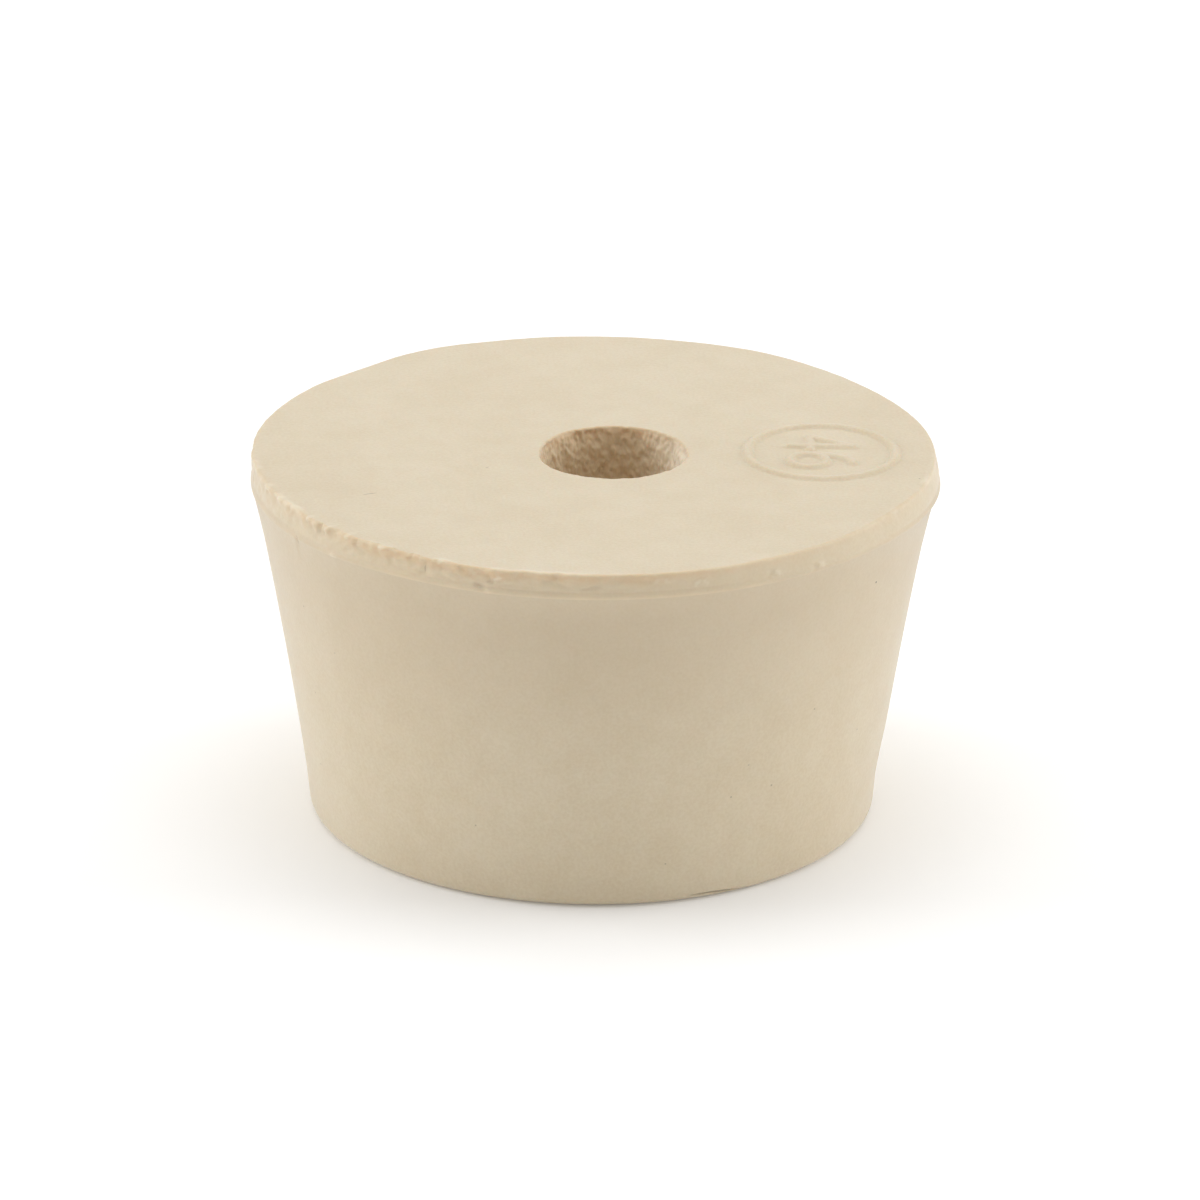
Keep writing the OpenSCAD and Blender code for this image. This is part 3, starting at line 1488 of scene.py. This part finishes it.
@dataclass
class Stopper:
    """The whole stopper: one moulded piece, turned, then worked over by each pass in turn."""

    section: Section
    counts: RingCounts = field(default_factory=RingCounts)
    mark_cuts: int = 13
    crack_cuts: int = 2
    radial_share: float = 0.7

    def turn(self) -> bpy.types.Object:
        """Turn the body: extrude ring after ring round the half section, then bridge the last to the first.

        Returns:
            The closed body, in object mode, with a vertex group for each zone.
        """
        s = self.section
        rings = self.counts.rings(s)
        first = rings[0]
        bpy.ops.object.select_all(action="DESELECT")
        bpy.ops.mesh.primitive_circle_add(
            vertices=self.counts.around, radius=first.radius * MM, location=(0, 0, first.height * MM)
        )
        piece = bpy.context.object
        piece.name = NODE + "_rubber"
        bpy.ops.object.transform_apply(location=True, rotation=True, scale=True)
        groups = {zone: piece.vertex_groups.new(name=zone.value).index for zone in Zone}
        bpy.ops.object.mode_set(mode="EDIT")
        bpy.ops.mesh.select_mode(type="VERT")
        bpy.ops.mesh.select_all(action="SELECT")
        piece.vertex_groups.active_index = groups[first.zone]
        bpy.ops.object.vertex_group_assign()
        for last, ring in zip(rings[:-1], rings[1:]):
            slide = ring.shift - last.shift
            step = (s.bore_x * slide * MM, s.bore_y * slide * MM, (ring.height - last.height) * MM)
            grow = ring.radius / last.radius
            middle = (s.bore_x * ring.shift * MM, s.bore_y * ring.shift * MM, ring.height * MM)
            bpy.ops.mesh.extrude_edges_move(TRANSFORM_OT_translate={"value": step})
            bpy.ops.transform.resize(value=(grow, grow, 1), center_override=middle)
            bpy.ops.object.vertex_group_remove_from(use_all_groups=True)
            piece.vertex_groups.active_index = groups[ring.zone]
            bpy.ops.object.vertex_group_assign()
        bpy.ops.mesh.select_all(action="DESELECT")
        bpy.ops.mesh.select_non_manifold()
        bpy.ops.mesh.bridge_edge_loops()
        bpy.ops.mesh.select_all(action="SELECT")
        bpy.ops.mesh.normals_make_consistent(inside=False)
        bpy.ops.object.mode_set(mode="OBJECT")
        return piece

    def refine(self, piece: bpy.types.Object, picked: np.ndarray, cuts: int, radial_only: bool) -> None:
        """Subdivide the mesh where finer work follows.

        Args:
            piece: the stopper, in object mode.
            picked: a mask of the vertices whose edges are cut.
            cuts: how many cuts each edge gets.
            radial_only: whether to cut only the edges that run from ring to ring.
        """
        mesh = piece.data
        ends = np.empty(len(mesh.edges) * 2, np.int32)
        mesh.edges.foreach_get("vertices", ends)
        ends = ends.reshape(-1, 2)
        chosen = picked[ends].all(axis=1)
        if radial_only:
            places = np.array([vertex.co[:2] for vertex in mesh.vertices])
            reach = np.linalg.norm(places, axis=1)
            inwards = np.abs(reach[ends[:, 0]] - reach[ends[:, 1]])
            length = np.linalg.norm(places[ends[:, 0]] - places[ends[:, 1]], axis=1)
            chosen &= inwards > length * self.radial_share
        bpy.ops.object.mode_set(mode="EDIT")
        bpy.ops.mesh.select_mode(type="EDGE")
        bpy.ops.mesh.select_all(action="DESELECT")
        bpy.ops.object.mode_set(mode="OBJECT")
        mesh.edges.foreach_set("select", chosen)
        bpy.ops.object.mode_set(mode="EDIT")
        bpy.ops.mesh.subdivide(number_cuts=cuts)
        bpy.ops.object.mode_set(mode="OBJECT")

    def even_out(self) -> None:
        """Split the many-sided faces that refining leaves along its border into even triangles."""
        bpy.ops.object.mode_set(mode="EDIT")
        bpy.ops.mesh.select_mode(type="FACE")
        bpy.ops.mesh.select_all(action="DESELECT")
        bpy.ops.mesh.select_face_by_sides(number=4, type="GREATER", extend=False)
        bpy.ops.mesh.quads_convert_to_tris(ngon_method="BEAUTY")
        bpy.ops.object.mode_set(mode="OBJECT")

    def build(self) -> bpy.types.Object:
        """Turn the body, refine it where it needs it, and run the passes over it.

        Returns:
            The finished stopper.
        """
        side = MouldedSide(self.section)
        band = TrimmedBand(self.section)
        bore = DrilledBore(self.section)
        mark = SizeMark(self.section)
        piece = self.turn()
        self.refine(piece, mark.patch(Skin(piece)), self.mark_cuts, radial_only=True)
        self.refine(piece, side.crack_patch(Skin(piece)), self.crack_cuts, radial_only=False)
        self.even_out()
        skin = Skin(piece)
        for feature in (side, band, bore, mark):
            feature.shape(skin)
        skin.write()
        bpy.ops.object.select_all(action="DESELECT")
        piece.select_set(True)
        bpy.context.view_layer.objects.active = piece
        bpy.ops.object.shade_smooth()
        return piece

    def dress(self, piece: bpy.types.Object) -> None:
        """Give the stopper its finish, and put it in its node's place on the frame.

        Args:
            piece: the finished stopper.
        """
        piece.data.materials.clear()
        piece.data.materials.append(RubberFinish(self.section).material())
        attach(piece, BODY)
        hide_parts(NODE)


@dataclass(frozen=True)
class SoftBox:
    """A square studio light: its place and size in metres, and its power."""

    name: str
    place: Point
    size: float
    watts: float

    def build(self, aim: Vector) -> None:
        """Add the light.

        Args:
            aim: the point that it faces, in metres.
        """
        bpy.ops.object.light_add(type="AREA", location=self.place)
        lamp = bpy.context.object
        lamp.name = self.name
        lamp.data.shape = "SQUARE"
        lamp.data.size = self.size
        lamp.data.energy = self.watts
        lamp.rotation_euler = (aim - Vector(self.place)).to_track_quat("-Z", "Y").to_euler()


@dataclass
class Studio:
    """A pale floor, soft light from above and both sides, and the camera, all set round the stopper."""

    floor_r: float = 1500.0
    floor_sides: int = 96
    floor_colour: Colour = (252, 252, 252)
    floor_roughness: float = 0.9
    floor_specular: float = 0.1
    floor_glow: float = 0.08
    sky: float = 0.385
    boxes: tuple[SoftBox, ...] = (
        SoftBox("top_box", (0.0, 0.1, 0.8), 0.7, 3.3),
        SoftBox("left_box", (-0.7, 0.1, 0.3), 0.5, 2.4),
        SoftBox("right_box", (0.7, 0.1, 0.3), 0.5, 2.4),
    )
    aim_height: float = 13.0
    camera_distance: float = 602.8
    camera_elevation: float = 21.607
    camera_roll: float = 0.515
    camera_right: float = 0.477
    camera_up: float = 1.19
    focal_px: float = 8955.0
    sensor: float = 36.0

    def floor(self) -> None:
        """Lay the floor that the stopper stands on."""
        bpy.ops.object.select_all(action="DESELECT")
        bpy.ops.mesh.primitive_circle_add(
            vertices=self.floor_sides, radius=self.floor_r * MM, fill_type="NGON", location=(0, 0, 0)
        )
        ground = bpy.context.object
        ground.name = "floor"
        paint = Graph("pale_floor").finish(
            {
                "Base Color": linear(self.floor_colour),
                "Roughness": self.floor_roughness,
                "Specular IOR Level": self.floor_specular,
                "Emission Color": WHITE,
                "Emission Strength": self.floor_glow,
            }
        )
        ground.data.materials.append(paint)

    def lights(self) -> None:
        """Hang the soft boxes and light the air evenly."""
        aim = Vector((0, 0, self.aim_height * MM))
        for box in self.boxes:
            box.build(aim)
        world = bpy.data.worlds.new("studio_air")
        world.use_nodes = True
        air = world.node_tree.nodes["Background"]
        air.inputs["Color"].default_value = WHITE
        air.inputs["Strength"].default_value = self.sky
        bpy.context.scene.world = world

    def camera(self) -> None:
        """Set the camera where the photograph was taken from."""
        tilt = math.radians(self.camera_elevation)
        back = Vector((0, -math.cos(tilt), math.sin(tilt)))
        up = Vector((0, math.sin(tilt), math.cos(tilt)))
        right = Vector((1, 0, 0))
        aim = Vector((0, 0, self.aim_height))
        place = aim + back * self.camera_distance + right * self.camera_right + up * self.camera_up
        lean = Matrix.Rotation(QUARTER_TURN - tilt, 4, "X")
        roll = Matrix.Rotation(math.radians(self.camera_roll), 4, "Z")
        bpy.ops.object.camera_add()
        eye = bpy.context.object
        eye.name = "camera"
        eye.matrix_world = Matrix.Translation(place * MM) @ lean @ roll
        eye.data.sensor_width = self.sensor
        eye.data.lens = self.focal_px / IMAGE_PX * self.sensor
        bpy.context.scene.camera = eye

    def build(self) -> None:
        """Set up the whole studio."""
        bpy.context.scene.view_settings.view_transform = "Standard"
        self.floor()
        self.lights()
        self.camera()


def main() -> None:
    """Build the stopper and the studio."""
    logging.basicConfig(level=logging.INFO, format="%(name)s: %(message)s")
    Studio().build()
    log.info("studio set")
    stopper = Stopper(Section.from_frame())
    piece = stopper.build()
    stopper.dress(piece)
    log.info("%s: %d faces", piece.name, len(piece.data.polygons))


if __name__ == "__main__":
    main()
